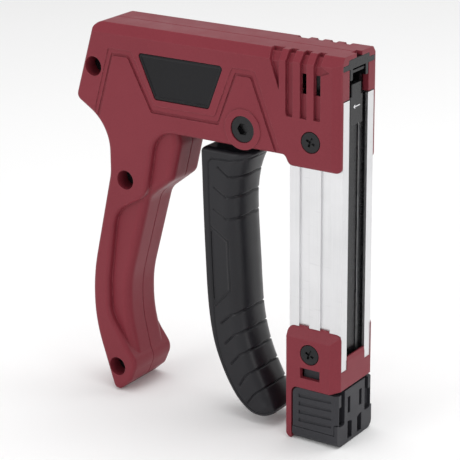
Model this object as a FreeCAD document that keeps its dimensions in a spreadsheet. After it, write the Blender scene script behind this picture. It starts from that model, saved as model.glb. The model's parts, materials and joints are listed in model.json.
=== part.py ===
import FreeCAD, Part
import math
import os

import Sketcher

# Hand-operated staple gun. Outlines are written in gun coordinates: X = 0 is the front face of the
# magazine with +X the way a staple leaves, Y = 0 is the seam between the two housing shells and Z = 0
# is the surface that the gun stands on. Every sub-part is then placed so that the origin lies under the
# middle of the gun.

# ---------------------------------------------------------------- driving dimensions
DIMENSIONS = [
    ("front_offset", 71.5, "from the part's origin to the magazine's front face"),
    ("half_width", 15.5, "seam to the outer side face"),
    ("grip_half_width", 12.0, "seam to the side of the narrower finger grip"),
    ("edge_radius", 2.0, "rounding around the side face"),
    ("cavity_half_width", 13.0, "seam to the inside of the side wall"),
    ("roof_cavity_half_width", 10.6, "seam to the inside of the bevelled top edge"),
    ("handle_cavity_half_width", 9.5, "seam to the inside of the finger grip"),
    ("top_height", 182.4, "height of the housing's top face"),
    ("groove_step", 0.45, "depth of each step of the styling groove"),
    ("badge_recess", 1.0, "depth of the badge recess"),
    ("badge_thickness", 0.8, "thickness of a badge plate"),
    ("louver_depth", 1.8, "depth of the cooling louvers"),
    ("housing_head_radius", 4.65, "counterbore of a housing screw"),
    ("housing_screw_radius", 1.45, "shank of a housing screw"),
    ("boss_radius", 6.0, "screw boss inside the housing"),
    ("pivot_seat_radius", 6.2, "seat of the pivot bolt's head and nut"),
    ("pivot_radius", 3.0, "shank of the pivot bolt"),
    ("magazine_seat_radius", 4.98, "seat of a magazine screw's head"),
    ("magazine_screw_radius", 2.0, "shank of a magazine screw"),
    ("magazine_half_width", 13.0, "half width of the aluminium extrusion"),
    ("magazine_bottom", 36.7, "lower end of the extrusion"),
    ("magazine_length", 126.0, "length of the extrusion"),
    ("rail_bottom", 22.0, "lower end of the staple rail"),
    ("rail_length", 146.6, "length of the staple rail"),
    ("pusher_bottom", 150.0, "lower face of the pusher with the magazine empty"),
    ("pusher_height", 13.0, "height of the pusher"),
    ("guide_rod_radius", 1.5, "pusher guide rod"),
    ("gear_module", 1.0, "module of the lever and crank teeth"),
    ("gear_width", 5.0, "face width of the teeth and the lever core's thickness"),
    ("frame_inner", 8.2, "seam to the inner face of a frame plate"),
    ("frame_thickness", 1.5, "thickness of a frame plate"),
    ("crank_pin_radius", 2.0, "crank pin"),
    ("drive_pin_radius", 1.5, "pin through the plunger"),
    ("plunger_half_width", 5.2, "half width of the plunger"),
    ("blade_thickness", 1.2, "driver blade"),
    ("lever_half_width", 12.0, "half width of the squeeze lever"),
    ("lever_front_radius", 6.0, "rounding of the lever's front edges"),
    ("tail_core_half_width", 9.1, "middle of the tail cap, between the press pads"),
    ("pad_inner", 12.2, "seam to the inner face of a press pad"),
    ("running_gap", 0.05, "radial clearance of a running fit"),
    ("seam_chamfer", 0.35, "chamfer that makes the groove along the seam"),
    ("finger_radius", 4.0, "rounding of the finger grip's front edges"),
    ("strip_inner", 7.45, "seam to the inner face of a dark strip beside the extrusion's front opening"),
    ("strip_thickness", 0.5, "thickness of that strip"),
    ("drive_spring_radius", 4.6, "centre of the wire in the drive spring"),
    ("drive_spring_wire", 0.8, "radius of the drive spring's wire"),
    ("drive_spring_length", 62.2, "drive spring, with the driver at rest"),
    ("pusher_spring_radius", 2.2, "centre of the wire in the pusher spring"),
    ("pusher_spring_wire", 0.25, "radius of the pusher spring's wire"),
    ("pusher_spring_length", 114.3, "pusher spring, with the magazine empty"),
    ("lever_spring_radius", 6.2, "inside of the lever's spiral return spring"),
    ("lever_spring_strip", 0.5, "thickness of the lever spring's strip"),
    ("lever_spring_width", 3.4, "width of the lever spring's strip"),
]

# ---------------------------------------------------------------- places and outlines, (X, Z)
PIVOT = (-50.2, 143.8)
CRANK = (-36.2, 155.1)
DRIVE_PIN = (-30.2, 171.6)
SPRING_AXIS_Z = 172.0
MAGAZINE_SCREWS = [(-15.1, 143.2), (-15.1, 43.05)]
HOUSING_SCREWS = [(-132.7, 161.4), (-116.1, 108.8), (-123.9, 12.3)]
GUIDE_ROD_X = -10.0

# Corners are (x, z) or (x, z, radius).
SIDE_FACE = [
    (0, 130.7, 3), (0, 182.4), (-132.6, 182.4, 5), (-143.9, 145.2, 3.5), (-125.3, 133.5, 22),
    (-125.3, 110.5, 20), (-137.3, 58, 95), (-137.3, 34, 75), (-125.6, -2.2, 3), (-116.6, 5.8, 5),
    (-112.4, 15.6, 7), (-118.5, 23.7, 7), (-128.2, 39, 16), (-128.2, 56, 30), (-123, 92, 14), (-105, 102, 12),
    (-99, 134.5, 12), (-88, 135.2, 12), (-29, 135.2, 2.2), (-26.6, 130.7, 3),
]
FINGER_GRIP = [
    (-126, 120), (-132, 60), (-131, 30), (-122, 9), (-117, 12), (-114.2, 16.2), (-118.9, 38, 60),
    (-118.9, 55, 55), (-106.4, 100.3, 10), (-92.4, 111.2, 5), (-88.0, 129, 5), (-90, 142), (-112, 142),
]
BODY_CAVITY = [
    (-3, 163.2), (-3, 176.2), (-131.6, 176.2), (-140.3, 147.0, 2), (-128, 138.3, 8), (-28.3, 138.3),
    (-28.3, 163.2),
]
ROOF_CAVITY = [(-3, 170), (-3, 179.9), (-130.5, 179.9, 3), (-132.4, 173), (-128, 170)]
HANDLE_CAVITY = [
    (-122.4, 139), (-122.4, 112, 15), (-132.0, 58, 30), (-131.6, 36, 20), (-128.0, 22, 2), (-119.0, 22, 3),
    (-121.6, 42, 15), (-121.6, 56, 30), (-109, 100, 12), (-104, 139),
]
LEVER_MOUTH = [(-81.2, 134), (-81.2, 139), (-38, 139), (-38, 134)]
MAGAZINE_MOUTH = [(1, 130), (1, 163.2), (-27, 163.2), (-27, 130)]
BADGE = [(-107.5, 171.2, 1.6), (-60.2, 171.2, 1.6), (-68.4, 150.2, 1.8), (-98.1, 150.2, 1.8)]
GROOVE_OUTER = [
    (-133.4, 138.2), (-123.9, 171.2, 1.5), (-110.9, 171.2, 1.5), (-98.4, 147.4, 1.5), (-65.3, 147.4, 1.5),
    (-55.9, 171.2, 1.5), (-43.6, 171.2, 1.5), (-30.3, 135.2),
]
GROOVE_MIDDLE = [
    (-132.0, 136.8), (-122.3, 169.1, 1.3), (-112.3, 169.1, 1.3), (-99.7, 145.0, 1.3), (-63.8, 145.0, 1.3),
    (-54.3, 169.1, 1.3), (-45.3, 169.1, 1.3), (-32.2, 135.2),
]
GROOVE_INNER = [
    (-33.2, 135.2), (-46.1, 167.9, 1.2), (-53.4, 167.9, 1.2), (-63.1, 143.7, 1.2), (-100.3, 143.7, 1.2),
    (-112.9, 167.9, 1.2), (-121.4, 167.9, 1.2), (-130.5, 135.4),
]
LOUVER_COLUMNS = [
    [(-37.6, 183.5), (-36.0, 177.5), (-31.3, 164.4), (-31.3, 183.5)],
    [(-28.0, 183.5), (-28.0, 154.9), (-27.4, 153.3, 0.8), (-24.3, 153.3), (-24.3, 183.5)],
    [(-20.6, 183.5), (-20.6, 153.3), (-17.2, 153.3), (-17.2, 183.5)],
    [(-13.7, 183.5), (-13.7, 153.3), (-10.2, 153.3, 0.8), (-10.2, 183.5)],
]
LOUVER_NOTCH = [(-11, 178.6), (-5.8, 175.4), (-11, 173.4)]
LOUVER_WINDOWS = [(-20.4, -17.3), (-13.5, -10.4)]
LOUVER_WINDOW_Z = (164.2, 173.2)
LEVER_GRIP = [
    (-75.8, 131.4, 3), (-75.2, 95), (-73.6, 50, 60), (-67.4, 22, 30), (-53.5, 3.9, 14), (-40.0, 3.9, 8),
    (-35.4, 10.5, 5), (-45.0, 27, 30), (-52.2, 50, 60), (-55.4, 100, 60), (-54.2, 118, 20), (-47.5, 131.4, 3),
]
LEVER_CORE = [
    (-73.9, 137.6, 1.5), (-73.9, 132.5, 1.5), (-68, 128), (-67, 70), (-63, 42, 3), (-57, 42, 2), (-58.5, 70),
    (-60, 118, 8), (-50.5, 128, 3), (-46.5, 136.8), (-50.2, 146.0), (-60, 144.5, 4),
]
FRAME_PLATE = [
    (-63.5, 139.5, 3), (-63.5, 150, 3), (-56, 163), (-56, 179.2, 2), (-27.2, 179.2, 2), (-27.2, 163.4),
    (-28.6, 163.4), (-28.6, 139.5, 3),
]

# Outlines that are not in the X-Z plane.
EXTRUSION_SECTION = [
    (0, 13), (0, 8), (-1.2, 8), (-1.2, 8.7), (-2.4, 8.7), (-2.4, 8), (-3.3, 8), (-3.3, 5.9), (-19.3, 5.9),
    (-19.3, -5.9), (-3.3, -5.9), (-3.3, -8), (-2.4, -8), (-2.4, -8.7), (-1.2, -8.7), (-1.2, -8), (0, -8),
    (0, -13), (-6, -13), (-6, -12), (-11, -12), (-11, -13), (-16.7, -13), (-16.7, -12), (-22, -12),
    (-22, -13), (-27, -13), (-27, 13), (-22, 13), (-22, 12), (-16.7, 12), (-16.7, 13), (-11, 13),
    (-11, 12), (-6, 12), (-6, 13),
]
NOSE_PLATE = [
    (-13.4, 176.2, 0.6), (-13.4, 178.5, 0.8), (-9, 178.5), (-8.4, 180.4, 0.5), (8.4, 180.4, 0.5), (9, 178.5),
    (13.4, 178.5, 0.8), (13.4, 176.2, 0.6), (7.6, 176.2), (7.6, 171.2), (5.6, 171.2), (5.6, 176.2),
    (-5.6, 176.2), (-5.6, 171.2), (-7.6, 171.2), (-7.6, 176.2),
]

V = FreeCAD.Vector
doc = FreeCAD.newDocument("staple_gun")
sheet = doc.addObject("Spreadsheet::Sheet", "Sizes")
for row, (alias, value, note) in enumerate(DIMENSIONS, start=1):
    sheet.set(f"A{row}", alias)
    sheet.set(f"B{row}", str(value))
    sheet.set(f"C{row}", note)
    sheet.setAlias(f"B{row}", alias)
doc.recompute()

SUB_PARTS = []
XZ, YZ, XY = "XZ_Plane", "YZ_Plane", "XY_Plane"


def size(alias):
    """A driving dimension, in millimetres."""
    return float(sheet.get(alias))


def bound(expression):
    """Turn sheet aliases in an expression into references to the sheet."""
    for alias in sorted((row[0] for row in DIMENSIONS), key=len, reverse=True):
        expression = expression.replace("$" + alias, "Sizes." + alias)
    return expression


# ---------------------------------------------------------------- outlines
def rounded_edges(corners):
    """Line and arc pieces of a closed outline whose corners may carry a radius."""
    ends = []
    count = len(corners)
    for index, corner in enumerate(corners):
        point = V(corner[0], corner[1], 0)
        if len(corner) < 3:
            ends.append((point, None, point))
            continue
        before = corners[index - 1]
        after = corners[(index + 1) % count]
        to_before = (V(before[0], before[1], 0) - point).normalize()
        to_after = (V(after[0], after[1], 0) - point).normalize()
        half_turn = to_before.getAngle(to_after) / 2
        run = corner[2] / math.tan(half_turn)
        bisector = (to_before + to_after).normalize()
        middle = point + bisector * (corner[2] / math.sin(half_turn) - corner[2])
        ends.append((point + to_before * run, middle, point + to_after * run))
    pieces = []
    for index, (start, middle, finish) in enumerate(ends):
        if middle is not None:
            pieces.append(Part.Arc(start, middle, finish))
        following = ends[(index + 1) % count][0]
        if (following - finish).Length > 1e-6:
            pieces.append(Part.LineSegment(finish, following))
    return pieces


def draw(sketch, corners):
    for piece in rounded_edges(corners):
        sketch.addGeometry(piece, False)


def draw_circle(sketch, centre, radius):
    """A circle whose radius is an expression on the sheet."""
    index = sketch.addGeometry(Part.Circle(V(centre[0], centre[1], 0), V(0, 0, 1), 1.0), False)
    constraint = sketch.addConstraint(Sketcher.Constraint("Radius", index, 1.0))
    sketch.setExpression(f"Constraints[{constraint}]", bound(radius))


# ---------------------------------------------------------------- features
def new_body(name):
    return doc.addObject("PartDesign::Body", name)


def new_sketch(body, role, offset="0"):
    """A sketch on one of the body's origin planes, moved along the plane's normal."""
    sketch = body.newObject("Sketcher::SketchObject", body.Name + "_sketch")
    plane = [feature for feature in body.Origin.OriginFeatures if feature.Role == role][0]
    sketch.AttachmentSupport = [(plane, "")]
    sketch.MapMode = "FlatFace"
    sketch.setExpression("AttachmentOffset.Base.z", bound(offset))
    return sketch


def add(body, kind, sketch, length, both=False, backwards=False):
    """A pad or pocket of the sketch; checks that it changed the body the right way."""
    before = body.Shape.Volume if body.Tip else 0.0
    feature = body.newObject("PartDesign::" + kind, body.Name + "_" + kind.lower())
    feature.Profile = sketch
    feature.setExpression("Length", bound(length))
    feature.Midplane = both
    feature.Reversed = backwards
    doc.recompute()
    change = body.Shape.Volume - before
    if (kind == "Pad") != (change > 0) or abs(change) < 1e-6:
        raise RuntimeError(f"{body.Name}: {kind} changed the volume by {change:.4f}")
    return feature


def pad(body, role, corners, length, offset="0", both=False, backwards=False):
    sketch = new_sketch(body, role, offset)
    draw(sketch, corners)
    return add(body, "Pad", sketch, length, both, backwards)


def pocket(body, role, corners, length, offset="0", both=False, backwards=False):
    sketch = new_sketch(body, role, offset)
    draw(sketch, corners)
    return add(body, "Pocket", sketch, length, both, backwards)


def round_pad(body, role, centres, radius, length, offset="0", both=False, backwards=False):
    sketch = new_sketch(body, role, offset)
    for centre in centres:
        draw_circle(sketch, centre, radius)
    return add(body, "Pad", sketch, length, both, backwards)


def round_pocket(body, role, centres, radius, length, offset="0", both=False, backwards=False):
    sketch = new_sketch(body, role, offset)
    for centre in centres:
        draw_circle(sketch, centre, radius)
    return add(body, "Pocket", sketch, length, both, backwards)


def lies_at(edge, y):
    """Whether a whole edge lies in the plane at this distance from the seam."""
    return abs(edge.BoundBox.YMin - y) < 1e-3 and abs(edge.BoundBox.YMax - y) < 1e-3


def fillet(body, radius, wanted):
    """Round the edges of the body's shape that the test picks."""
    base = body.Tip
    names = [f"Edge{n}" for n, edge in enumerate(base.Shape.Edges, start=1) if wanted(edge)]
    feature = body.newObject("PartDesign::Fillet", body.Name + "_fillet")
    feature.Base = (base, names)
    feature.Radius = radius
    doc.recompute()
    return feature


def chamfer(body, width, wanted):
    """Bevel the edges of the body's shape that the test picks."""
    base = body.Tip
    names = [f"Edge{n}" for n, edge in enumerate(base.Shape.Edges, start=1) if wanted(edge)]
    feature = body.newObject("PartDesign::Chamfer", body.Name + "_chamfer")
    feature.Base = (base, names)
    feature.Size = width
    doc.recompute()
    return feature


def cylinder(name, radius, length, start, axis):
    """A cylinder from a start point along an axis, its sizes bound to the sheet."""
    rod = doc.addObject("Part::Cylinder", name)
    rod.setExpression("Radius", bound(radius))
    rod.setExpression("Height", bound(length))
    rod.Placement = FreeCAD.Placement(V(*start), FreeCAD.Rotation(V(0, 0, 1), V(*axis)))
    return rod


def block(name, low, high):
    solid = doc.addObject("Part::Box", name)
    solid.Length, solid.Width, solid.Height = (high[n] - low[n] for n in range(3))
    solid.Placement.Base = V(*low)
    return solid


def fuse(name, *solids):
    joined = doc.addObject("Part::MultiFuse", name)
    joined.Shapes = list(solids)
    joined.Refine = True
    return joined


def cut(name, base, tool):
    left = doc.addObject("Part::Cut", name)
    left.Base = base
    left.Tool = tool
    return left


def mirrored(name, source):
    copy = doc.addObject("Part::Mirroring", name)
    copy.Source = source
    copy.Normal = V(0, 1, 0)
    return copy


def group(name, solids):
    together = doc.addObject("Part::Compound", name)
    together.Links = solids
    return together


def computed(name, shape):
    """A sub-part whose form no feature makes, such as gear teeth or a spring."""
    feature = doc.addObject("Part::Feature", name)
    feature.Shape = shape
    return feature


def finish(node, item):
    """Name the sub-part and place it in the part's own frame."""
    item.Label = node
    item.setExpression("Placement.Base.x", f"{bound('$front_offset')} + {item.Placement.Base.x:.6f}")
    SUB_PARTS.append((node, item))


def finish_pair(node, body):
    """A right-hand sub-part and its mirror image, which takes its place from the first."""
    finish(node + "_right", body)
    left = mirrored(node + "_left", body)
    left.Label = node + "_left"
    SUB_PARTS.append((node + "_left", left))


# ---------------------------------------------------------------- housing
def shell_half():
    """What both shells share, built on the right-hand side (-Y) of the seam."""
    body = new_body("shell_blank")
    pad(body, XZ, FINGER_GRIP, "$grip_half_width")
    fillet(body, size("finger_radius"), lambda edge: lies_at(edge, -size("grip_half_width")))
    pad(body, XZ, SIDE_FACE, "$half_width")
    fillet(body, size("edge_radius"), lambda edge: lies_at(edge, -size("half_width")))
    chamfer(body, size("seam_chamfer"), lambda edge: lies_at(edge, 0))
    edge_chamfers(body)
    round_pad(body, XZ, [PIVOT], "$pivot_seat_radius + 3.2", "$half_width + 0.5")
    pocket(body, XZ, BODY_CAVITY, "$cavity_half_width", backwards=True)
    pocket(body, XZ, ROOF_CAVITY, "$roof_cavity_half_width", backwards=True)
    pocket(body, XZ, HANDLE_CAVITY, "$handle_cavity_half_width", backwards=True)
    pocket(body, XZ, LEVER_MOUTH, "$cavity_half_width - 0.3", backwards=True)
    pocket(body, XZ, MAGAZINE_MOUTH, "$magazine_half_width", backwards=True)
    nose_openings(body)
    inner_bosses(body)
    side_details(body)
    return body


def edge_chamfers(body):
    """Long chamfer between the side and top faces, and the one down the front corner."""
    pocket(body, YZ, [(-16.5, 178), (-15.5, 178), (-12, 182.4), (-12, 184), (-16.5, 184)],
           "400", both=True)
    pocket(body, XY, [(-4.5, -15.5), (-4.5, -16.5), (1, -16.5), (1, -14.3), (0, -14.3)],
           "400", both=True)


def nose_openings(body):
    """Staple exit between the shells' front faces, the nose plate's slot and the seam notch."""
    pocket(body, YZ, [(-8.3, 163), (-8.3, 176.2), (1, 176.2), (1, 163)], "3.2", "-3.1", backwards=True)
    pocket(body, YZ, [(-13.5, 176.1), (-13.5, 178.6), (-9.1, 178.6), (-8.5, 180.5), (1, 180.5), (1, 176.1)],
           "3.2", "-3.1", backwards=True)
    pocket(body, YZ, [(-2.4, 180.3), (-2.4, 183), (1, 183), (1, 180.3)], "3.1", "-3.0", backwards=True)


def inner_bosses(body):
    """Screw bosses, the pivot's inner boss and the holes that both shells have."""
    round_pad(body, XZ, HOUSING_SCREWS[:1], "$boss_radius", "$cavity_half_width + 1")
    round_pad(body, XZ, HOUSING_SCREWS[1:2], "$boss_radius", "$handle_cavity_half_width + 1")
    round_pad(body, XZ, [PIVOT], "$pivot_seat_radius + 1.8", "3.6", "9.9")
    round_pocket(body, XZ, HOUSING_SCREWS, "$housing_screw_radius", "10", backwards=True)
    round_pocket(body, XZ, [PIVOT], "$pivot_radius", "20", backwards=True)
    round_pocket(body, XZ, [PIVOT], "$pivot_seat_radius", "5", "12.2", backwards=True)
    round_pocket(body, XZ, MAGAZINE_SCREWS[:1], "$magazine_screw_radius", "20", backwards=True)
    round_pocket(body, XZ, MAGAZINE_SCREWS[:1], "$magazine_seat_radius", "5", "13.9", backwards=True)


def side_details(body):
    """Badge recess, the stepped styling groove and the windows behind the louvers."""
    pocket(body, XZ, BADGE, "2", "$half_width - $badge_recess", backwards=True)
    pocket(body, XZ, GROOVE_OUTER + GROOVE_INNER, "2", "$half_width - $groove_step", backwards=True)
    pocket(body, XZ, GROOVE_MIDDLE + GROOVE_INNER, "2", "$half_width - 2 * $groove_step", backwards=True)
    pocket(body, XZ, LOUVER_NOTCH, "2", "$half_width - 0.9", backwards=True)
    for low, high in LOUVER_WINDOWS:
        corners = [(low, LOUVER_WINDOW_Z[0]), (high, LOUVER_WINDOW_Z[0]),
                   (high, LOUVER_WINDOW_Z[1]), (low, LOUVER_WINDOW_Z[1])]
        pocket(body, XZ, corners, "6", "$cavity_half_width - 1", backwards=True)


def make_housing():
    half = cut("shell_half", shell_half(), louver_recess())
    heads = [cylinder("head_hole", "$housing_head_radius", "12", (x, -6, z), (0, -1, 0))
             for x, z in HOUSING_SCREWS]
    shanks = [cylinder("shank_hole", "$housing_screw_radius + 0.2", "20", (x, 1, z), (0, -1, 0))
              for x, z in HOUSING_SCREWS]
    finish("housing_right", cut("housing_right", half, fuse("screw_holes", *heads, *shanks)))
    finish("housing_left", mirrored("housing_left", half))


def louver_recess():
    """Slots between the louvers, cut into the side and over the top edge to one common depth."""
    depth = size("louver_depth")
    side, top = size("half_width"), size("top_height")
    hood = new_body("louver_hood")
    pad(hood, YZ, [(-side - 1, 152), (-side + depth, 152), (-side + depth, 177.0),
                   (-side + depth + 2.6, top - depth), (-9.3, top - depth), (-9.3, top + 1),
                   (-side - 1, top + 1)], "40", backwards=True)
    slots = new_body("louver_slots")
    for column in LOUVER_COLUMNS:
        pad(slots, XZ, column, "$half_width + 2")
    shared = doc.addObject("Part::Common", "louver_recess")
    shared.Base = hood
    shared.Tool = slots
    return shared


def make_badges():
    body = new_body("badge_right")
    inset = 0.15
    corners = [(x + inset * sx, z + inset * sz, r) for (x, z, r), (sx, sz)
               in zip(BADGE, [(1.6, -1), (-1.6, -1), (-1.6, 1), (1.6, 1)])]
    pad(body, XZ, corners, "$badge_thickness", "$half_width - $badge_recess")
    finish_pair("badge", body)


# ---------------------------------------------------------------- fasteners
def cross_recess(name, x, y, z, depth, outward):
    """Two crossed slots sunk into a screw head; outward is -1 on the right side and 1 on the left."""
    low, high = sorted((y - outward * depth, y + outward))
    arms = []
    for turn in (25, 115):
        arm = block(name + "_arm", (-2.3, low, -0.55), (2.3, high, 0.55))
        arm.Placement = FreeCAD.Placement(V(x, 0, z), FreeCAD.Rotation(V(0, 1, 0), turn)).multiply(
            FreeCAD.Placement(V(-2.3, low, -0.55), FreeCAD.Rotation()))
        arms.append(arm)
    return fuse(name, *arms)


def make_screws():
    housing = []
    for x, z in HOUSING_SCREWS:
        head = cylinder("housing_head", "$housing_head_radius - 0.45", "2.2", (x, -6, z), (0, -1, 0))
        shank = cylinder("housing_shank", "$housing_screw_radius", "15.4", (x, -6.2, z), (0, 1, 0))
        housing.append(cut("housing_screw", fuse("housing_screw_blank", head, shank),
                           cross_recess("housing_cross", x, -8.2, z, 1.4, -1)))
    finish("housing_screws", group("housing_screws", housing))
    magazine = []
    for x, z in MAGAZINE_SCREWS:
        for outward in (-1, 1):
            seat = size("magazine_half_width") + 0.9
            head = cylinder("magazine_head", "$magazine_seat_radius - 0.4", "1.5", (x, outward * seat, z),
                            (0, outward, 0))
            shank = cylinder("magazine_shank", "$magazine_screw_radius", "6.4",
                             (x, outward * (seat + 0.2), z), (0, -outward, 0))
            magazine.append(cut("magazine_screw", fuse("magazine_screw_blank", head, shank),
                                cross_recess("magazine_cross", x, outward * (seat + 1.5), z, 1.0, outward)))
    finish("magazine_screws", group("magazine_screws", magazine))


def make_pivot_bolt():
    x, z = PIVOT
    head = cylinder("bolt_head", "$pivot_seat_radius - 0.22", "3.2", (x, -12.2, z), (0, -1, 0))
    shank = cylinder("bolt_shank", "$pivot_radius", "28", (x, -12.3, z), (0, 1, 0))
    socket = doc.addObject("Part::Prism", "hex_socket")
    socket.Polygon = 6
    socket.Circumradius = 2.9
    socket.Height = 3
    socket.Placement = FreeCAD.Placement(V(x, -13.2, z), FreeCAD.Rotation(V(0, 0, 1), V(0, -1, 0)))
    finish("pivot_bolt", cut("pivot_bolt", fuse("bolt_blank", head, shank), socket))
    nut = doc.addObject("Part::Prism", "nut_blank")
    nut.Polygon = 6
    nut.Circumradius = 5.77
    nut.Height = 3.2
    nut.Placement = FreeCAD.Placement(V(x, 12.2, z), FreeCAD.Rotation(V(0, 0, 1), V(0, 1, 0)))
    hole = cylinder("nut_hole", "$pivot_radius", "8", (x, 10, z), (0, 1, 0))
    finish("pivot_nut", cut("pivot_nut", nut, hole))


# ---------------------------------------------------------------- magazine
def make_extrusion():
    body = new_body("magazine_extrusion")
    pad(body, XY, EXTRUSION_SECTION, "$magazine_length", "$magazine_bottom")
    for side in (-1, 1):
        chamber = [(-5.4, side * 10.9), (-5.4, side * 7.4), (-11.8, side * 7.4), (-11.8, side * 10.9)]
        pocket(body, XY, chamber, "400", both=True)
    pocket(body, XY, [(-20.8, -10.4), (-20.8, 10.4), (-25.6, 10.4), (-25.6, -10.4)], "400", both=True)
    for side, backwards in (("$magazine_half_width", False), ("-$magazine_half_width", True)):
        round_pocket(body, XZ, MAGAZINE_SCREWS, "$magazine_screw_radius", "6", side, backwards=backwards)
    finish("magazine_extrusion", body)


def make_end_cap():
    body = new_body("magazine_end_cap")
    pad(body, XZ, [(0.3, 27.8), (0.3, 55, 3), (-27.3, 55, 3), (-27.3, 0, 2.6), (-24.6, 0), (-24.6, 26, 3),
                   (-4, 26, 4)], "2 * $half_width", both=True)
    for side in (-1, 1):
        slope = [(side * 16, 50), (side * 15.5, 50), (side * 13, 55.2), (side * 16, 55.2)]
        pocket(body, YZ, slope, "400", both=True)
        front = [(-4.5, side * 15.5), (-4.5, side * 16), (1, side * 16), (1, side * 13.4), (0.3, side * 13.4)]
        pocket(body, XY, front, "400", both=True)
    pocket(body, YZ, [(-13, 36.7), (-13, 56), (13, 56), (13, 36.7)], "400", both=True)
    pocket(body, XY, [(-24.6, -13), (-24.6, 13), (-0.9, 13), (-0.9, -13)], "60", "-10", backwards=True)
    pad(body, YZ, [(-7.8, 36), (-7.8, 42.6), (7.8, 42.6), (7.8, 36)], "1.2", "-0.9")
    pocket(body, XZ, [(-0.4, 44), (0.4, 40.2), (1, 40), (1, 44)], "16", both=True)
    for centre in (-19.4, -8.5):
        for side in (-1, 1):
            tab = [(centre - 2.4, side * 13), (centre - 2.4, side * 12.05), (centre + 2.4, side * 12.05),
                   (centre + 2.4, side * 13)]
            pad(body, XY, tab, "18.9", "36.7")
    pocket(body, XZ, [(-20, 30.9), (-20, 36), (-9.6, 36), (-9.6, 30.9)], "60", both=True)
    round_pocket(body, XZ, MAGAZINE_SCREWS[1:], "$magazine_screw_radius", "60", both=True)
    for side, backwards in (("$magazine_half_width + 0.9", True), ("-$magazine_half_width - 0.9", False)):
        round_pocket(body, XZ, MAGAZINE_SCREWS[1:], "$magazine_seat_radius", "5", side, backwards=backwards)
    finish("magazine_end_cap", body)


def make_channel_strips():
    inner = size("strip_inner")
    outer = inner + size("strip_thickness")
    body = new_body("channel_strip_right")
    pad(body, XY, [(-3.2, -outer), (-1.0, -outer), (-1.0, -inner), (-3.2, -inner)],
        "$magazine_length - 0.1", "$magazine_bottom + 0.05")
    finish_pair("channel_strip", body)


def make_rail():
    body = new_body("staple_rail")
    pad(body, XY, [(-3, -4.2, 0.6), (-3, 4.2, 0.6), (-15, 4.2), (-15, 3.1), (-4.2, 3.1), (-4.2, -3.1),
                   (-15, -3.1), (-15, -4.2)], "$rail_length", "$rail_bottom")
    finish("staple_rail", body)


def make_pusher():
    body = new_body("pusher")
    pad(body, XY, [(-1.2, -5.6, 0.5), (-1.2, 5.6, 0.5), (-18.4, 5.6, 0.5), (-18.4, -5.6, 0.5)],
        "$pusher_height", "$pusher_bottom")
    pocket(body, XY, [(-2.7, -4.5), (-2.7, 4.5), (-15.3, 4.5), (-15.3, -4.5)], "400", both=True)
    pad(body, XY, [(-6.8, -2.7, 0.6), (-6.8, 2.7, 0.6), (-15.5, 2.7), (-15.5, -2.7)],
        "$pusher_height", "$pusher_bottom")
    round_pocket(body, XY, [(GUIDE_ROD_X, 0)], "$guide_rod_radius + $running_gap", "400", both=True)
    pad(body, XY, [(-1.2, -4.2, 0.5), (-1.2, 4.2, 0.5), (-2.7, 4.2), (-2.7, -4.2)], "18.6", "$pusher_bottom")
    finish("pusher", body)


def make_tail():
    body = new_body("tail_cap")
    pad(body, XZ, [(0, 0), (0, 26.5), (-24, 26.5, 2.5), (-24, 0, 1)], "2 * $tail_core_half_width",
        both=True)
    pad(body, YZ, [(-15.5, 0, 3.5), (-15.5, 11), (15.5, 11), (15.5, 0, 3.5)], "1.6", backwards=True)
    pad(body, YZ, [(-15.5, 0, 3.5), (-15.5, 6), (15.5, 6), (15.5, 0, 3.5)], "24", backwards=True)
    for side in (-1, 1):
        pocket(body, YZ, [(side * 9, 27), (side * 9, 10, 1.2), (side * 14, 10, 1.2), (side * 14, 27)], "4")
        pocket(body, YZ, [(side * 4, 14.5), (side * 4, 22.5), (side * 6.3, 22.5), (side * 6.3, 14.5)], "3")
        pocket(body, YZ, [(side * 2.4, 1.6), (side * 2.4, 9.4), (side * 4.2, 10.2), (side * 6.3, 10.6),
                          (side * 6.3, 1.6)], "4")
    pad(body, XY, [(-2.4, -5.4), (-2.4, 5.4), (-18, 5.4), (-18, -5.4)], "9", "26")
    pocket(body, XY, [(-2.9, -4.25), (-2.9, 4.25), (-15.1, 4.25), (-15.1, 3.05), (-4.25, 3.05),
                      (-4.25, -3.05), (-15.1, -3.05), (-15.1, -4.25)], "40", "$rail_bottom", backwards=True)
    round_pocket(body, XY, [(GUIDE_ROD_X, 0)], "$guide_rod_radius", "40", "$rail_bottom", backwards=True)
    finish("tail_cap", body)
    rod = cylinder("guide_rod", "$guide_rod_radius", "141", (GUIDE_ROD_X, 0, size("rail_bottom")), (0, 0, 1))
    finish("guide_rod", rod)


def make_press_pads():
    body = new_body("press_pad_right")
    pad(body, XZ, [(-23.7, 6.3), (-23.7, 25.8, 3), (0, 25.8), (0, 11.3), (-1.9, 11.3), (-1.9, 6.3)],
        "$half_width - $pad_inner", "$pad_inner")
    pocket(body, YZ, [(-14, 11), (-14, 20), (-11, 20), (-11, 11)], "1.7", backwards=False)
    pocket(body, XY, [(-1.3, -15.5), (-1.3, -16), (1, -16), (1, -14.4), (0, -14.4)], "400", both=True)
    for height in (9.0, 13.0, 17.1, 21.1):
        groove = [(-20.6, height), (-20.6, height + 1.9), (-3.2, height + 1.9), (-3.2, height + 0.7)]
        pocket(body, XZ, groove, "2", "$half_width - 0.6", backwards=True)
    pad(body, XZ, [(-19.4, 22), (-19.4, 35.4, 0.8), (-10.2, 35.4, 0.8), (-10.2, 22)], "2", "10.7")
    finish_pair("press_pad", body)


# ---------------------------------------------------------------- nose
def make_nose():
    plate = new_body("nose_plate")
    pad(plate, YZ, NOSE_PLATE, "2.8", backwards=True)
    finish("nose_plate", plate)
    guide = new_body("nose_guide")
    pad(guide, YZ, [(-7.9, 163.3), (-7.9, 176.1), (7.9, 176.1), (7.9, 163.3), (6.1, 163.3), (6.1, 175.4),
                    (-6.1, 175.4), (-6.1, 163.3)], "19.5", "-3.2", backwards=True)
    finish("nose_guide", guide)


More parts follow.
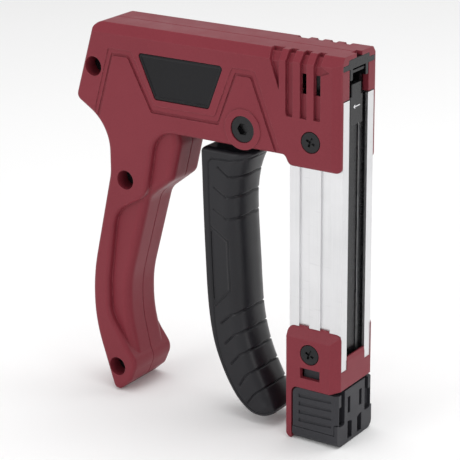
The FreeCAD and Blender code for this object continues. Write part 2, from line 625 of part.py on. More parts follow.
# ---------------------------------------------------------------- drive
def gear_teeth(centre, teeth, line_angle, indices, on_gap):
    """Involute teeth on a root disc; line_angle points at the mating gear, in degrees from +X to +Z."""
    module = size("gear_module")
    pitch_radius = module * teeth / 2
    base_radius = pitch_radius * math.cos(math.radians(20))
    tip_radius, root_radius = pitch_radius + 0.9 * module, pitch_radius - 1.25 * module
    backlash = 0.25
    half_tooth = math.pi / 2 / teeth - backlash / 2 / pitch_radius
    roll_at_pitch = math.tan(math.radians(20)) - math.radians(20)

    def flank(radius, side):
        ratio = max(radius, base_radius) / base_radius
        roll = math.sqrt(ratio * ratio - 1)
        turn = half_tooth - (roll - math.atan(roll)) + roll_at_pitch
        return side * turn

    def at(radius, angle):
        return V(centre[0] + radius * math.cos(angle), 0, centre[1] + radius * math.sin(angle))

    width = size("gear_width")
    solid = Part.makeCylinder(root_radius, width, V(centre[0], -width / 2, centre[1]), V(0, 1, 0))
    steps = [base_radius + (tip_radius - base_radius) * n / 5 for n in range(6)]
    for index in indices:
        middle = math.radians(line_angle) + (index + (0.5 if on_gap else 0)) * 2 * math.pi / teeth
        left = [at(radius, middle + flank(radius, 1)) for radius in steps]
        right = [at(radius, middle + flank(radius, -1)) for radius in reversed(steps)]
        foot_left = at(root_radius - 0.4, middle + flank(base_radius, 1))
        foot_right = at(root_radius - 0.4, middle + flank(base_radius, -1))
        tooth = Part.makePolygon([foot_left] + left + right + [foot_right, foot_left])
        prism = Part.Face(tooth).extrude(V(0, width, 0))
        prism.translate(V(0, -width / 2, 0))
        solid = solid.fuse(prism)
    return solid.removeSplitter()


def line_of_centres():
    return math.degrees(math.atan2(CRANK[1] - PIVOT[1], CRANK[0] - PIVOT[0]))


def make_lever():
    arm = new_body("lever_arm")
    pad(arm, XZ, LEVER_CORE, "$gear_width", both=True)
    sector = computed("lever_sector", gear_teeth(PIVOT, 24, line_of_centres(), range(-2, 4), False))
    hub = cylinder("lever_hub", "6", "15.8", (PIVOT[0], -7.9, PIVOT[1]), (0, 1, 0))
    bore = cylinder("lever_bore", "4.5", "20", (PIVOT[0], -10, PIVOT[1]), (0, 1, 0))
    core = cut("lever_core", fuse("lever_core_blank", arm, sector, hub), bore)
    finish("lever_core", core)
    grip = new_body("lever_grip_blank")
    pad(grip, XZ, LEVER_GRIP, "2 * $lever_half_width", both=True)
    fillet(grip, size("lever_front_radius"),
           lambda edge: edge.BoundBox.YLength < 1e-3 and faces_forward(edge))
    finish("lever_grip", cut("lever_grip", grip, core_pocket()))
    sleeve = cylinder("sleeve", "4.5", "15.8", (PIVOT[0], -7.9, PIVOT[1]), (0, 1, 0))
    hole = cylinder("sleeve_hole", "$pivot_radius + $running_gap", "20", (PIVOT[0], -10, PIVOT[1]), (0, 1, 0))
    finish("pivot_bushing", cut("pivot_bushing", sleeve, hole))


def faces_forward(edge):
    """Whether an edge of the grip's side lies on its front, between the toe and the top."""
    middle = edge.valueAt((edge.FirstParameter + edge.LastParameter) / 2)
    return middle.z > 14 and middle.x > -57 and middle.z < 131


def core_pocket():
    """The slot in the grip that the steel core fills."""
    body = new_body("core_pocket")
    pad(body, XZ, LEVER_CORE, "$gear_width", both=True)
    return body


def make_crank():
    arms = []
    angle = math.radians(20)
    along = V(math.sin(angle), 0, math.cos(angle))
    across = V(math.cos(angle), 0, -math.sin(angle))
    centre = V(CRANK[0], 0, CRANK[1])
    slot_half = size("drive_pin_radius") + 0.25

    def corner(forward, sideways):
        place = centre + along * forward + across * sideways
        return (place.x, place.z)
    outline = [corner(0, -4.6), corner(5, -4.6), corner(11, -3.3), corner(20, -3.3), corner(20, -slot_half),
               corner(13.5, -slot_half), corner(13.5, slot_half), corner(20, slot_half), corner(20, 3.3),
               corner(11, 3.3), corner(5, 4.6), corner(0, 4.6)]
    for offset in ("5.6", "-7.6"):
        fork = new_body("crank_fork")
        pad(fork, XZ, outline, "2", offset)
        arms.append(fork)
        arms.append(cylinder("crank_cheek", "4.6", "2", (CRANK[0], -float(offset), CRANK[1]), (0, -1, 0)))
    teeth = computed("crank_teeth", gear_teeth(CRANK, 12, line_of_centres() + 180, range(-3, 2), True))
    hub = cylinder("crank_hub", "4", "15.2", (CRANK[0], -7.6, CRANK[1]), (0, 1, 0))
    bore = cylinder("crank_bore", "$crank_pin_radius + $running_gap", "20",
                    (CRANK[0], -10, CRANK[1]), (0, 1, 0))
    finish("bell_crank", cut("bell_crank", fuse("bell_crank_blank", *arms, teeth, hub), bore))
    reach = size("frame_inner") + size("frame_thickness")
    pin = cylinder("crank_pin", "$crank_pin_radius", "2 * ($frame_inner + $frame_thickness)",
                   (CRANK[0], -reach, CRANK[1]), (0, 1, 0))
    finish("crank_pin", pin)


def make_frame_plates():
    body = new_body("frame_plate_right")
    pad(body, XZ, FRAME_PLATE, "$frame_thickness", "$frame_inner")
    round_pocket(body, XZ, [PIVOT], "$pivot_radius", "40", both=True)
    round_pocket(body, XZ, [CRANK], "$crank_pin_radius", "40", both=True)
    finish_pair("frame_plate", body)


def make_plunger():
    body = new_body("plunger")
    pad(body, XZ, [(-36, 166, 1), (-27, 166, 1), (-27, 178, 1), (-36, 178, 1)],
        "2 * $plunger_half_width", both=True)
    pocket(body, XZ, [(-34, 174), (-26, 174), (-26, 175.2), (-34, 175.2)], "40", both=True)
    round_pocket(body, XZ, [DRIVE_PIN], "$drive_pin_radius", "40", both=True)
    finish("plunger", body)
    blade = new_body("driver_blade")
    pad(blade, XY, [(-34, -5), (-34, 5), (-27, 5), (-27, 5.3), (-0.5, 5.3), (-0.5, -5.3), (-27, -5.3),
                    (-27, -5)], "$blade_thickness", "174")
    finish("driver_blade", blade)
    finish("drive_pin", cylinder("drive_pin", "$drive_pin_radius", "15.4", (DRIVE_PIN[0], -7.7, DRIVE_PIN[1]),
                                 (0, 1, 0)))
    bumper = new_body("bumper")
    pad(bumper, XZ, [(-26.9, 165.5, 0.5), (-24.2, 165.5, 0.5), (-24.2, 173, 0.5), (-26.9, 173, 0.5)],
        "2 * $plunger_half_width", both=True)
    finish("bumper", bumper)


def make_spring_seat():
    body = new_body("spring_seat")
    pad(body, XZ, [(-103.5, 163, 1), (-100, 163, 1), (-100, 179.9), (-103.5, 179.9)],
        "2 * $roof_cavity_half_width - 0.2", both=True)
    round_pocket(body, YZ, [(0, SPRING_AXIS_Z)], "2", "400", both=True)
    finish("spring_seat", body)
    finish("spring_guide", cylinder("spring_guide", "2", "51.5", (-103.5, 0, SPRING_AXIS_Z), (1, 0, 0)))


def coil(name, turns, start, axis):
    """A wire spring from a start point along an axis, its sizes read from the sheet."""
    radius, wire, length = (size(f"{name}_{what}") for what in ("radius", "wire", "length"))
    helix = Part.makeHelix(length / turns, length, radius)
    section = Part.Wire(Part.makeCircle(wire, V(radius, 0, 0), V(0, 1, 0)))
    shape = Part.Wire(helix).makePipeShell([section], True, True)
    spring = computed(name, shape)
    spring.Placement = FreeCAD.Placement(V(*start), FreeCAD.Rotation(V(0, 0, 1), V(*axis)))
    finish(name, spring)


def make_lever_spring():
    """Spiral of flat strip round the pivot, drawn as half circles about two centres."""
    strip, pitch, halves = size("lever_spring_strip"), 0.5, 5
    body = new_body("lever_spring")
    sketch = new_sketch(body, XZ, "2.9")
    ends = []
    for thickness in (0, strip):
        across = PIVOT[0] + size("lever_spring_radius") + thickness
        ends.append([V(across, PIVOT[1], 0)])
        for half in range(halves):
            radius = size("lever_spring_radius") + thickness + half * pitch
            centre = PIVOT[0] + (pitch if half % 2 else 0)
            way = -1 if half % 2 else 1
            arc = Part.Arc(V(centre + way * radius, PIVOT[1], 0), V(centre, PIVOT[1] + way * radius, 0),
                           V(centre - way * radius, PIVOT[1], 0))
            sketch.addGeometry(arc, False)
        ends[-1].append(V(centre - way * radius, PIVOT[1], 0))
    for inside, outside in zip(*ends):
        sketch.addGeometry(Part.LineSegment(inside, outside), False)
    add(body, "Pad", sketch, "$lever_spring_width")
    finish("lever_spring", body)


def make_springs():
    coil("drive_spring", 13, (-99.1, 0, SPRING_AXIS_Z), (1, 0, 0))
    coil("pusher_spring", 30, (GUIDE_ROD_X, 0, 35.3), (0, 0, 1))
    make_lever_spring()


make_housing()
make_badges()
make_screws()
make_pivot_bolt()
make_extrusion()
make_end_cap()
make_channel_strips()
make_rail()
make_pusher()
make_tail()
make_press_pads()
make_nose()
make_lever()
make_crank()
make_frame_plates()
make_plunger()
make_spring_seat()
make_springs()
doc.recompute()

os.makedirs("parts", exist_ok=True)
for item in doc.Objects:
    if "Invalid" in item.State or "Error" in item.State:
        raise RuntimeError(f"{item.Name} is {item.State}")
for node, item in SUB_PARTS:
    if item.Shape.isNull() or not item.Shape.isValid() or not item.Shape.Solids:
        raise RuntimeError(f"{node} has no valid solid")
    print(f"{node}: {item.Shape.Volume:.1f} mm3, {len(item.Shape.Solids)} solid(s)")
for node, item in SUB_PARTS:
    item.Shape.exportStep(f"parts/{node}.step")
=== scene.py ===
import json
import math

import bmesh
import bpy
import numpy as np
from mathutils import Matrix, Vector


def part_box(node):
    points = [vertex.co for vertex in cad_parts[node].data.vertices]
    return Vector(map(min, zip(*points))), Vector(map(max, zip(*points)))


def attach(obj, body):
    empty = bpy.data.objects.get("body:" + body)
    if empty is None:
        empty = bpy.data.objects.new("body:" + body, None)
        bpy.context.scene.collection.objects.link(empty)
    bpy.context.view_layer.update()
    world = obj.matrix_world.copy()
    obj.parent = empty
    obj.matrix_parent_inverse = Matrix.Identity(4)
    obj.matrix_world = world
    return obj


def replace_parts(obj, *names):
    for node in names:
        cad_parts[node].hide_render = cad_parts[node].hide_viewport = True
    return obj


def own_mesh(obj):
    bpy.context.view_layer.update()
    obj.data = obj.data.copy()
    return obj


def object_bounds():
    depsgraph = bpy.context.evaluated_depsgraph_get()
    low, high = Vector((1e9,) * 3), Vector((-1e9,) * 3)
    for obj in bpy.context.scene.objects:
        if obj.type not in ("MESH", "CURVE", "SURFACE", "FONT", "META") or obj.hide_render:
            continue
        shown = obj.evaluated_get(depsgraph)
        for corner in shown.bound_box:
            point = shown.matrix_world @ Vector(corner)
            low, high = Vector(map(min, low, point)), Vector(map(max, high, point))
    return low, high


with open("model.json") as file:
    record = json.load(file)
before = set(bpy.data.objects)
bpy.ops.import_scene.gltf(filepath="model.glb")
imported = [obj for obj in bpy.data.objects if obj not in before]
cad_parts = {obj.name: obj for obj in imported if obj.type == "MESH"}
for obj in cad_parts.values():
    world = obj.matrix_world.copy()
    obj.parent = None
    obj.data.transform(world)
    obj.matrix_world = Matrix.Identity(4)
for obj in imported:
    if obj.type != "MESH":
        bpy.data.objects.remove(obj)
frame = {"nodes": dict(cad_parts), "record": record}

cad_low, cad_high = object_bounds()

MM = 0.001
FRONT = 0.0715                 # x of the magazine's front face


def place(x, y, z):
    """A point in millimetres from the magazine's front face, the seam and the ground, in the frame."""
    return Vector((x * MM + FRONT, y * MM, z * MM))


# ---------------------------------------------------------------- materials
class Shader:
    """A node tree being built for one material."""

    def __init__(self, name):
        self.material = bpy.data.materials.new(name)
        self.material.use_nodes = True
        self.nodes = self.material.node_tree.nodes
        self.links = self.material.node_tree.links
        self.surface = self.nodes["Principled BSDF"]
        self.where = self.nodes.new("ShaderNodeTexCoord").outputs["Object"]

    def plug(self, source, target):
        self.links.new(source, target)

    def stretched(self, scale):
        mapping = self.nodes.new("ShaderNodeMapping")
        mapping.inputs["Scale"].default_value = scale
        self.plug(self.where, mapping.inputs["Vector"])
        return mapping.outputs["Vector"]

    def noise(self, scale, detail=2.0, roughness=0.5, vector=None):
        node = self.nodes.new("ShaderNodeTexNoise")
        node.inputs["Scale"].default_value = scale
        node.inputs["Detail"].default_value = detail
        node.inputs["Roughness"].default_value = roughness
        self.plug(vector or self.where, node.inputs["Vector"])
        return node.outputs["Fac"]

    def cells(self, scale):
        node = self.nodes.new("ShaderNodeTexVoronoi")
        node.inputs["Scale"].default_value = scale
        self.plug(self.where, node.inputs["Vector"])
        return node.outputs["Distance"]

    def levels(self, value, low, high, to_low, to_high):
        node = self.nodes.new("ShaderNodeMapRange")
        for key, number in (("From Min", low), ("From Max", high), ("To Min", to_low), ("To Max", to_high)):
            node.inputs[key].default_value = number
        self.plug(value, node.inputs["Value"])
        return node.outputs["Result"]

    def maths(self, kind, first, second):
        node = self.nodes.new("ShaderNodeMath")
        node.operation = kind
        for socket, value in zip(node.inputs, (first, second)):
            if isinstance(value, (int, float)):
                socket.default_value = value
            else:
                self.plug(value, socket)
        return node.outputs["Value"]

    def blend(self, factor, first, second):
        """Colour between two, each a colour or a socket."""
        node = self.nodes.new("ShaderNodeMix")
        node.data_type = "RGBA"
        self.plug(factor, node.inputs["Factor"])
        for socket, value in ((node.inputs[6], first), (node.inputs[7], second)):
            if isinstance(value, tuple):
                socket.default_value = (*value, 1.0)
            else:
                self.plug(value, socket)
        return node.outputs[2]

    def edges(self, radius):
        """Rises from 0 on a flat face to 1 on a sharp outside or inside edge."""
        bevel = self.nodes.new("ShaderNodeBevel")
        bevel.samples = 4
        bevel.inputs["Radius"].default_value = radius
        flat = self.nodes.new("ShaderNodeNewGeometry")
        dot = self.nodes.new("ShaderNodeVectorMath")
        dot.operation = "DOT_PRODUCT"
        self.plug(bevel.outputs["Normal"], dot.inputs[0])
        self.plug(flat.outputs["Normal"], dot.inputs[1])
        return self.levels(dot.outputs["Value"], 0.99, 0.8, 0.0, 1.0), bevel.outputs["Normal"]

    def bump(self, height, strength, distance, normal=None):
        node = self.nodes.new("ShaderNodeBump")
        node.inputs["Strength"].default_value = strength
        node.inputs["Distance"].default_value = distance
        self.plug(height, node.inputs["Height"])
        if normal is not None:
            self.plug(normal, node.inputs["Normal"])
        return node.outputs["Normal"]

    def set(self, **values):
        for key, value in values.items():
            socket = self.surface.inputs[key.replace("_", " ")]
            if isinstance(value, (int, float)):
                socket.default_value = value
            else:
                self.plug(value, socket)
        return self.material


def moulded_plastic(name, dark, light, worn_and_highlit_edge, roughness, grain, specular=0.22, edge=0.0004):
    """Injection-moulded plastic: spark-eroded grain, uneven tone, and paler, smoother edges; the paler edges
    are partly wear and partly a painted highlight.
    """
    s = Shader(name)
    tone = s.levels(s.noise(22, 3), 0.3, 0.7, 0.0, 1.0)
    speck = s.levels(s.noise(1500, 2), 0.35, 0.65, 0.0, 1.0)
    colour = s.blend(s.maths("MULTIPLY", speck, 0.35), dark, light)
    colour = s.blend(s.maths("MULTIPLY", tone, 0.5), colour, light)
    # Edges are painted towards the paler edge colour: partly scuffed wear, partly a painted highlight along
    # every edge.
    edge_wear_and_highlight, soft_normal = s.edges(edge)
    scuffed_and_highlit = s.maths("MULTIPLY", edge_wear_and_highlight, s.levels(s.noise(260, 4), 0.4, 0.7, 0.15, 0.75))
    colour = s.blend(scuffed_and_highlit, colour, worn_and_highlit_edge)
    grain_height = s.maths("ADD", s.noise(2600, 3, 0.6), s.cells(1900))
    rough = s.levels(s.noise(90, 4), 0.3, 0.7, roughness - 0.05, roughness + 0.06)
    return s.set(Base_Color=colour, Roughness=rough, Specular_IOR_Level=specular,
                 Normal=s.bump(grain_height, grain, 0.00006, soft_normal))


def metal(name, dark, light, roughness, brushed, scratches=0.25, metallic=1.0, edge=0.0002):
    """Drawn or ground metal: fine lines along one direction, cloudy tone and a few scratches."""
    s = Shader(name)
    lines = s.noise(900, 3, 0.7, s.stretched(brushed))
    cloud = s.levels(s.noise(45, 4), 0.3, 0.7, 0.0, 1.0)
    scratch = s.levels(s.noise(300, 2, 0.5, s.stretched((0.2, 1.0, 2.6))), 0.66, 0.72, 0.0, scratches)
    edge_wear_and_highlight, soft_normal = s.edges(edge)
    colour = s.blend(s.maths("MULTIPLY", cloud, 0.6), dark, light)
    colour = s.blend(s.levels(lines, 0.3, 0.7, 0.0, 0.35), colour, light)
    # Edges are painted paler: partly wear, partly a painted highlight along every edge.
    colour = s.blend(s.maths("MULTIPLY", edge_wear_and_highlight, 0.5), colour, light)
    rough = s.maths("ADD", s.levels(lines, 0.3, 0.7, roughness - 0.05, roughness + 0.08), scratch)
    return s.set(Base_Color=colour, Roughness=rough, Metallic=metallic,
                 Normal=s.bump(lines, 0.12, 0.00004, soft_normal))


# Plastics give dark, light and edge colours; the edge colour is partly wear, partly a painted highlight.
MATERIALS = {
    "housing_plastic": moulded_plastic("red_moulding", (0.182, 0.022, 0.033), (0.230, 0.033, 0.047),
                                       (0.42, 0.10, 0.12), 0.4, 0.16, 0.2, 0.0006),
    "black_plastic": moulded_plastic("black_moulding", (0.020, 0.020, 0.024), (0.034, 0.034, 0.040),
                                     (0.075, 0.075, 0.085), 0.46, 0.22, 0.3),
    "grip_rubber": moulded_plastic("grip_rubber", (0.007, 0.007, 0.009), (0.015, 0.014, 0.018),
                                   (0.06, 0.06, 0.07), 0.36, 0.2, 0.32),
    "badge": moulded_plastic("badge_gloss", (0.005, 0.005, 0.006), (0.010, 0.010, 0.012),
                             (0.05, 0.05, 0.055), 0.2, 0.03, 0.2),
    "black_steel": metal("blackened_steel", (0.004, 0.004, 0.005), (0.014, 0.014, 0.016), 0.26,
                         (0.3, 2.0, 0.3), 0.12, 0.4),
    "steel": metal("bright_steel", (0.72, 0.72, 0.74), (0.88, 0.88, 0.90), 0.5, (0.15, 1.0, 2.0),
                   metallic=0.5),
    "aluminium": metal("extruded_aluminium", (0.66, 0.66, 0.67), (0.80, 0.80, 0.81), 0.34, (2.0, 2.0, 0.02)),
    "spring_steel": metal("spring_steel", (0.25, 0.25, 0.26), (0.42, 0.42, 0.43), 0.34, (1.5, 1.5, 1.5)),
    "bumper_rubber": moulded_plastic("bumper_rubber", (0.012, 0.012, 0.013), (0.02, 0.02, 0.022),
                                     (0.04, 0.04, 0.045), 0.7, 0.3, 0.3),
}


def dress(piece, slot, body=None):
    """Give a piece the material of its slot and the body that it moves with."""
    piece.data.materials.clear()
    piece.data.materials.append(MATERIALS[slot])
    if body:
        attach(piece, body)
    return piece


for subpart in frame["record"]["subparts"]:
    dress(frame["nodes"][subpart["node"]], subpart["material_slot"])


# ---------------------------------------------------------------- squeeze lever
LEVER_HALF_WIDTH = 12.0
LEVER_ROWS = 460               # sections from the top to the toe
LEVER_CROWN = 2.4              # rounding round the top
LEVER_TOE = (128.0, 7.4, 4.5)  # where the toe starts to narrow, over what length and by how much
REAR_EDGE, FRONT_NOSE, FRONT_SQUARENESS = 1.5, 9.0, 0.87
CHEVRON_DEPTH, BORDER_DEPTH, SLOT_DEPTH, PANEL_DEPTH, PANEL_RIM_DEPTH = 0.8, 0.55, 1.2, 0.7, 0.6
# Rear and front of the lever's side view at matching stations from the top to the toe, (x, z).
LEVER_REAR = [
    (-75.7, 131.0), (-75.6, 126), (-75.4, 119), (-75.2, 109), (-74.9, 98), (-74.5, 86), (-74.0, 74),
    (-73.5, 63), (-72.7, 53), (-71.4, 43.5), (-69.3, 34.5), (-66.1, 26), (-62.0, 17.8), (-56.6, 10.2),
    (-50.2, 5.2), (-43.8, 3.9), (-38.9, 5.2), (-36.5, 8.2),
]
LEVER_FRONT = [
    (-48.0, 131.0), (-51.0, 126.5), (-53.5, 119.5), (-55.0, 110), (-55.1, 99), (-54.5, 87), (-53.8, 75),
    (-53.2, 64), (-52.5, 54), (-51.1, 45), (-49.0, 37), (-46.2, 29.5), (-43.2, 23.5), (-40.5, 18.6),
    (-38.5, 14.8), (-37.0, 11.8), (-36.4, 9.8), (-36.2, 8.8),
]
UPPER_CHEVRONS = [12.8, 22.9, 33.3]        # how far down the lever each chevron's point is
LOWER_CHEVRONS = [79.9, 89.7, 99.7, 110.0, 120.4]
FLATTER_BELOW = 115            # the last chevron is flatter


def along(points, u):
    """A point at u (0 to 1) on the smooth curve through the points."""
    last = len(points) - 1
    index = min(int(u * last), last - 1)
    f = u * last - index
    a, b, c, d = (points[max(0, min(last, index + k))] for k in (-1, 0, 1, 2))
    return [0.5 * (2 * q + (r - p) * f + (2 * p - 5 * q + 4 * r - s) * f ** 2
                   + (3 * q - p - 3 * r + s) * f ** 3)
            for p, q, r, s in zip(a, b, c, d)]


def lever_section(depth, half):
    """Half of the lever's section from mid rear to mid front, as (depth, half width)."""
    edge, nose = min(REAR_EDGE, depth * 0.3), min(FRONT_NOSE, depth * 0.55)
    quarter = math.pi / 2
    points = [(0.0, (half - edge) * n / 7) for n in range(7)]
    points += [(edge - edge * math.cos(quarter * n / 6), half - edge + edge * math.sin(quarter * n / 6))
               for n in range(6)]
    points += [(edge + (depth - nose - edge) * n / 64, half) for n in range(64)]
    points += [(depth - nose + nose * math.sin(quarter * n / 44) ** FRONT_SQUARENESS,
                half * math.cos(quarter * n / 44) ** FRONT_SQUARENESS) for n in range(45)]
    return points


def near_line(points, x, y):
    """Distance of arrays of positions from a polyline."""
    nearest = np.full(x.shape, 1e9)
    for (ax, ay), (bx, by) in zip(points, points[1:]):
        run_x, run_y = bx - ax, by - ay
        t = np.clip(((x - ax) * run_x + (y - ay) * run_y) / (run_x ** 2 + run_y ** 2), 0, 1)
        nearest = np.minimum(nearest, np.hypot(x - ax - t * run_x, y - ay - t * run_y))
    return nearest


def valley(distance, half_width):
    """1 along a groove's middle, falling smoothly to 0 at its edges."""
    return 0.5 + 0.5 * np.cos(np.pi * np.clip(distance / half_width, 0, 1))


def grip_relief(inset, front, length):
    """Depth of the moulded pattern in millimetres; inset is from the rear edge, front from the middle of the
    front round the section, and length runs down the lever."""
    depth = np.zeros(inset.shape)
    upper = [(21.8, -4.2), (14.8, 0.0), (9.0, -0.5), (3.4, -0.9), (0.0, -1.5)]
    lower = [(21.8, 5.0), (15.4, 0.0), (10.0, -1.9), (6.0, -2.5), (0.0, -3.3)]
    for shape, starts in ((upper, UPPER_CHEVRONS), (lower, LOWER_CHEVRONS)):
        for start in starts:
            line = [(a, start + b * (0.55 if start > FLATTER_BELOW else 1.0)) for a, b in shape]
            deeper = np.clip((12 - front) / 6, 0, 1)
            groove = valley(near_line(line, front, length), 0.6 + 0.2 * deeper)
            depth = np.maximum(depth, (CHEVRON_DEPTH + 0.3 * deeper) * groove)
    border = [(26.0, 2.6), (23.6, 3.6), (16.4, 4.6), (5.6, 5.0), (4.0, 6.6), (3.8, 36.5), (3.5, 78.0),
              (2.7, 92.0), (2.2, 103.0), (2.2, 128.0), (3.0, 134.0)]
    depth = np.maximum(depth, BORDER_DEPTH * valley(near_line(border, inset, length), 0.6))
    slot = [(4.1, 40.2), (3.9, 73.4)]
    depth = np.maximum(depth, SLOT_DEPTH * valley(near_line(slot, inset, length), 0.65))
    panel = [(3.6, 37.2), (13.4, 43.8), (13.4, 68.2), (3.4, 77.6)]
    inside = np.full(inset.shape, 1e9)
    for (ax, ay), (bx, by) in zip(panel, panel[1:] + panel[:1]):
        run = math.hypot(bx - ax, by - ay)
        inside = np.minimum(inside, (-(inset - ax) * (by - ay) + (length - ay) * (bx - ax)) / run)
    sunk = np.clip(inside / 1.7, 0, 1)
    rim = near_line(panel, inset, length)
    depth = np.maximum(depth, PANEL_DEPTH * sunk * sunk * (3 - 2 * sunk))
    return np.maximum(depth, PANEL_RIM_DEPTH * valley(rim, 0.55) * (inset > 4.5))


def make_lever_grip():
    """The moulded grip: flat sides, rounded front, chevron grooves, border line and long sunken panel."""
    toe_start, toe_length, toe_narrowing = LEVER_TOE
    grid, inset, front, length = [], [], [], []
    reached, last = 0.0, None
    for row in range(LEVER_ROWS + 1):
        rear, nose = (along(line, row / LEVER_ROWS) for line in (LEVER_REAR, LEVER_FRONT))
        middle = [(a + b) / 2 for a, b in zip(rear, nose)]
        reached += math.dist(middle, last) if last else 0.0
        last = middle
        depth = math.dist(rear, nose)
        ahead = [(b - a) / depth for a, b in zip(rear, nose)]
        tip = max(0.0, (reached - toe_start) / toe_length)
        half = LEVER_HALF_WIDTH - toe_narrowing * min(tip, 1.0) ** 2
        short = max(0.0, LEVER_CROWN - reached)
        crown = LEVER_CROWN - math.sqrt(max(0.0, LEVER_CROWN ** 2 - short ** 2))
        section = lever_section(depth, half)
        arcs = [0.0]
        for before, after in zip(section, section[1:]):
            arcs.append(arcs[-1] + math.dist(before, after))
        shrunk = [(crown + d * (depth - 2 * crown) / depth, y * (half - crown) / half) for d, y in section]
        grid.append([(rear[0] + ahead[0] * d, -y, rear[1] + ahead[1] * d) for d, y in shrunk])
        inset.append([d for d, y in section])
        front.append([arcs[-1] - arc for arc in arcs])
        length.append([reached] * len(section))
    grid = np.array(grid)
    down, across = np.gradient(grid, axis=0), np.gradient(grid, axis=1)
    normal = np.cross(across, down)
    normal /= np.maximum(np.linalg.norm(normal, axis=2, keepdims=True), 1e-9)
    outward = np.sign(np.sum(normal * (grid - grid.mean(axis=1, keepdims=True)), axis=2, keepdims=True))
    relief = grip_relief(np.array(inset), np.array(front), np.array(length))
    flat_rear = np.array(inset) < 0.4
    relief[flat_rear] = 0
    grid = grid - normal * np.where(outward == 0, 1, outward) * relief[:, :, None]
    grid[:, 0, 1] = 0
    grid[:, -1, 1] = 0
    left = grid[:, -2:0:-1].copy()
    left[:, :, 1] *= -1
    ring = np.concatenate([grid, left], axis=1)
    count = ring.shape[1]
    verts = [place(*p) for p in ring.reshape(-1, 3)]
    grip = new_piece("lever_grip_moulding", verts, ring_faces(LEVER_ROWS, count))
    dress(grip, "grip_rubber", "lever")
    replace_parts(grip, "lever_grip")


def ring_faces(rows, count):
    """Faces between successive rings of count points, and a cap at each end."""
    faces = [(r * count + c, r * count + (c + 1) % count, (r + 1) * count + (c + 1) % count,
              (r + 1) * count + c) for r in range(rows) for c in range(count)]
    return faces + [tuple(reversed(range(count))), tuple(range(rows * count, (rows + 1) * count))]


def new_piece(name, verts, faces, smooth=True):
    """A mesh object with outward faces."""
    mesh = bpy.data.meshes.new(name)
    mesh.from_pydata(verts, [], faces)
    work = bmesh.new()
    work.from_mesh(mesh)
    bmesh.ops.remove_doubles(work, verts=work.verts, dist=1e-7)
    bmesh.ops.recalc_face_normals(work, faces=work.faces)
    work.to_mesh(mesh)
    work.free()
    for face in mesh.polygons:
        face.use_smooth = smooth and len(face.vertices) <= 4
    piece = bpy.data.objects.new(name, mesh)
    bpy.context.collection.objects.link(piece)
    return piece


make_lever_grip()


# ---------------------------------------------------------------- badges and pusher mark
BADGE_CORNERS = [(-107.5, 171.2, 1.6), (-60.2, 171.2, 1.6), (-68.4, 150.2, 1.8), (-98.1, 150.2, 1.8)]
BADGE_FLOOR = 14.5             # seam to the bottom of the recess
# From the bottom edge over the rim to the sunken face: distance in from the outline, height.
BADGE_PROFILE = [(0.12, 0.0), (0.12, 0.42), (0.2, 0.6), (0.42, 0.78), (0.62, 0.8), (1.15, 0.8), (1.3, 0.76),
                 (1.5, 0.6), (1.65, 0.56), (2.4, 0.56)]
PUSHER_MARK_HEIGHT = 158.2
PUSHER_MARK = [(2.9, 0.22), (-1.6, 0.22), (-1.1, 0.75), (-1.5, 0.85), (-2.7, 0.0), (-1.5, -0.85),
               (-1.1, -0.75), (-1.6, -0.22), (2.9, -0.22)]
PUSHER_MARK_LIFT = (-0.05, 0.12)    # its back is let into the pusher's face


def moved_in(corners, distance):
    """A convex outline's corners moved inwards; corners run clockwise as (x, z, radius)."""
    sides = []
    for (ax, az, _), (bx, bz, _) in zip(corners, corners[1:] + corners[:1]):
        run = math.hypot(bx - ax, bz - az)
        nx, nz = (bz - az) / run, -(bx - ax) / run
        sides.append((nx, nz, nx * ax + nz * az + distance))
    result = []
    for (a, b, c), (d, e, f), (_, _, radius) in zip(sides[-1:] + sides, sides, corners):
        det = a * e - b * d
        result.append(((c * e - b * f) / det, (a * f - c * d) / det, max(radius - distance, 0.2)))
    return result


def rounded(corners, steps=8):
    """The outline's points, with each corner replaced by an arc."""
    points = []
    for index, (x, z, radius) in enumerate(corners):
        here = Vector((x, z))
        before = (Vector(corners[index - 1][:2]) - here).normalized()
        after = (Vector(corners[(index + 1) % len(corners)][:2]) - here).normalized()
        half = before.angle(after) / 2
        centre = here + (before + after).normalized() * radius / math.sin(half)
        start, end = here + before * radius / math.tan(half), here + after * radius / math.tan(half)
        for n in range(steps + 1):
            point = start.lerp(end, n / steps)
            points.append(centre + (point - centre).normalized() * radius)
    return points


def make_badge(node, outward):
    """A blank glossy plate with a raised, bevelled rim."""
    verts = []
    for distance, height in BADGE_PROFILE:
        ring = rounded(moved_in(BADGE_CORNERS, distance))
        verts += [place(p.x, outward * (BADGE_FLOOR + height), p.y) for p in ring]
    faces = ring_faces(len(BADGE_PROFILE) - 1, len(ring))
    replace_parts(dress(new_piece(node + "_plate", verts, faces), "badge", "root"), node)


def make_pusher_mark():
    """A small pale arrow on the front of the pusher's tongue."""
    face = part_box("pusher")[1][0]
    verts = [Vector((face + lift * MM, y * MM, (PUSHER_MARK_HEIGHT + z) * MM)) for lift in PUSHER_MARK_LIFT
             for y, z in PUSHER_MARK]
    mark = new_piece("pusher_mark", verts, ring_faces(1, len(PUSHER_MARK)), smooth=False)
    dress(mark, "steel", "pusher")


make_badge("badge_right", -1)
make_badge("badge_left", 1)
make_pusher_mark()


def make_spring(node, body):
    """A copy of the coil in spring steel that moves with the body."""
    source = frame["nodes"][node]
    coil = bpy.data.objects.new(node + "_coil", source.data.copy())
    bpy.context.collection.objects.link(coil)
    coil.matrix_world = source.matrix_world
    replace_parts(dress(coil, "spring_steel", body), node)
    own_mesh(coil)


make_spring("drive_spring", "root")
make_spring("pusher_spring", "tail")


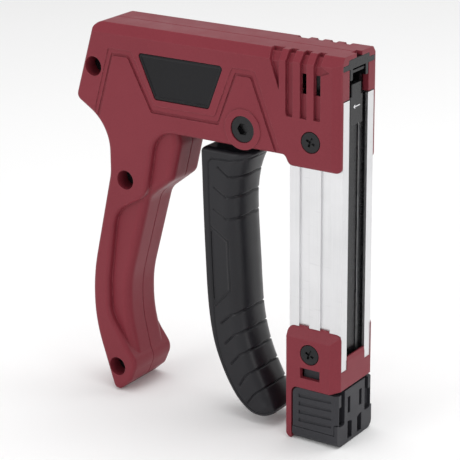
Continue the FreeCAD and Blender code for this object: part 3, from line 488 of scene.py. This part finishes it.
# ---------------------------------------------------------------- camera, floor and light
def make_camera():
    """Long lens from the front right, a little above the gun."""
    azimuth, elevation, roll = math.radians(33.747), math.radians(19.533), math.radians(-0.537)
    target, distance = place(-67.776, 0, 88.50), 0.89636
    back = Vector((math.sin(azimuth) * math.cos(elevation), -math.cos(azimuth) * math.cos(elevation),
                   math.sin(elevation)))
    right = Vector((math.cos(azimuth), math.sin(azimuth), 0))
    up = back.cross(right)
    turned = (math.cos(roll) * right + math.sin(roll) * up,
              -math.sin(roll) * right + math.cos(roll) * up, back)
    data = bpy.data.cameras.new("camera")
    data.lens = 151.2
    data.sensor_width = 36.0
    data.clip_start = 0.01
    camera = bpy.data.objects.new("camera", data)
    bpy.context.collection.objects.link(camera)
    camera.location = target + back * distance
    camera.rotation_euler = Matrix(turned).transposed().to_euler()
    bpy.context.scene.camera = camera


def make_light(name, at, aim, size, power):
    data = bpy.data.lights.new(name, "AREA")
    data.shape = "RECTANGLE"
    data.size, data.size_y = size
    data.energy = power
    lamp = bpy.data.objects.new(name, data)
    bpy.context.collection.objects.link(lamp)
    lamp.location = at
    lamp.rotation_euler = (Vector(aim) - Vector(at)).to_track_quat("-Z", "Y").to_euler()


def make_studio():
    """Pale floor, soft surround and broad lamps over the front, the side and the back."""
    mesh = bpy.data.meshes.new("floor")
    mesh.from_pydata([(-4, -4, 0), (4, -4, 0), (4, 4, 0), (-4, 4, 0)], [], [(0, 1, 2, 3)])
    floor = bpy.data.objects.new("floor", mesh)
    bpy.context.collection.objects.link(floor)
    floor.location.z = cad_low.z - 0.0003
    s = Shader("floor_paper")
    tone = s.blend(s.noise(3.0, 3), (0.97, 0.97, 0.97), (1.0, 1.0, 1.0))
    mesh.materials.append(s.set(Base_Color=tone, Roughness=0.85))
    world = bpy.data.worlds.new("surround")
    world.use_nodes = True
    world.node_tree.nodes["Background"].inputs["Color"].default_value = (1.0, 1.0, 1.0, 1.0)
    world.node_tree.nodes["Background"].inputs["Strength"].default_value = 0.64
    bpy.context.scene.world = world
    bpy.context.scene.view_settings.view_transform = "Standard"
    make_light("key", (-0.35, -1.0, 0.45), (0.03, 0, 0.05), (0.5, 0.5), 2.4)
    make_light("front", (1.1, -0.45, 0.25), (0, 0, 0.08), (0.4, 0.6), 1.6)
    make_light("top", (0.1, 0.1, 1.3), (0, 0, 0.1), (1.0, 1.0), 7)
    make_light("rim", (0.9, 0.9, 0.6), (0, 0, 0.1), (0.6, 0.6), 2)


make_camera()
make_studio()
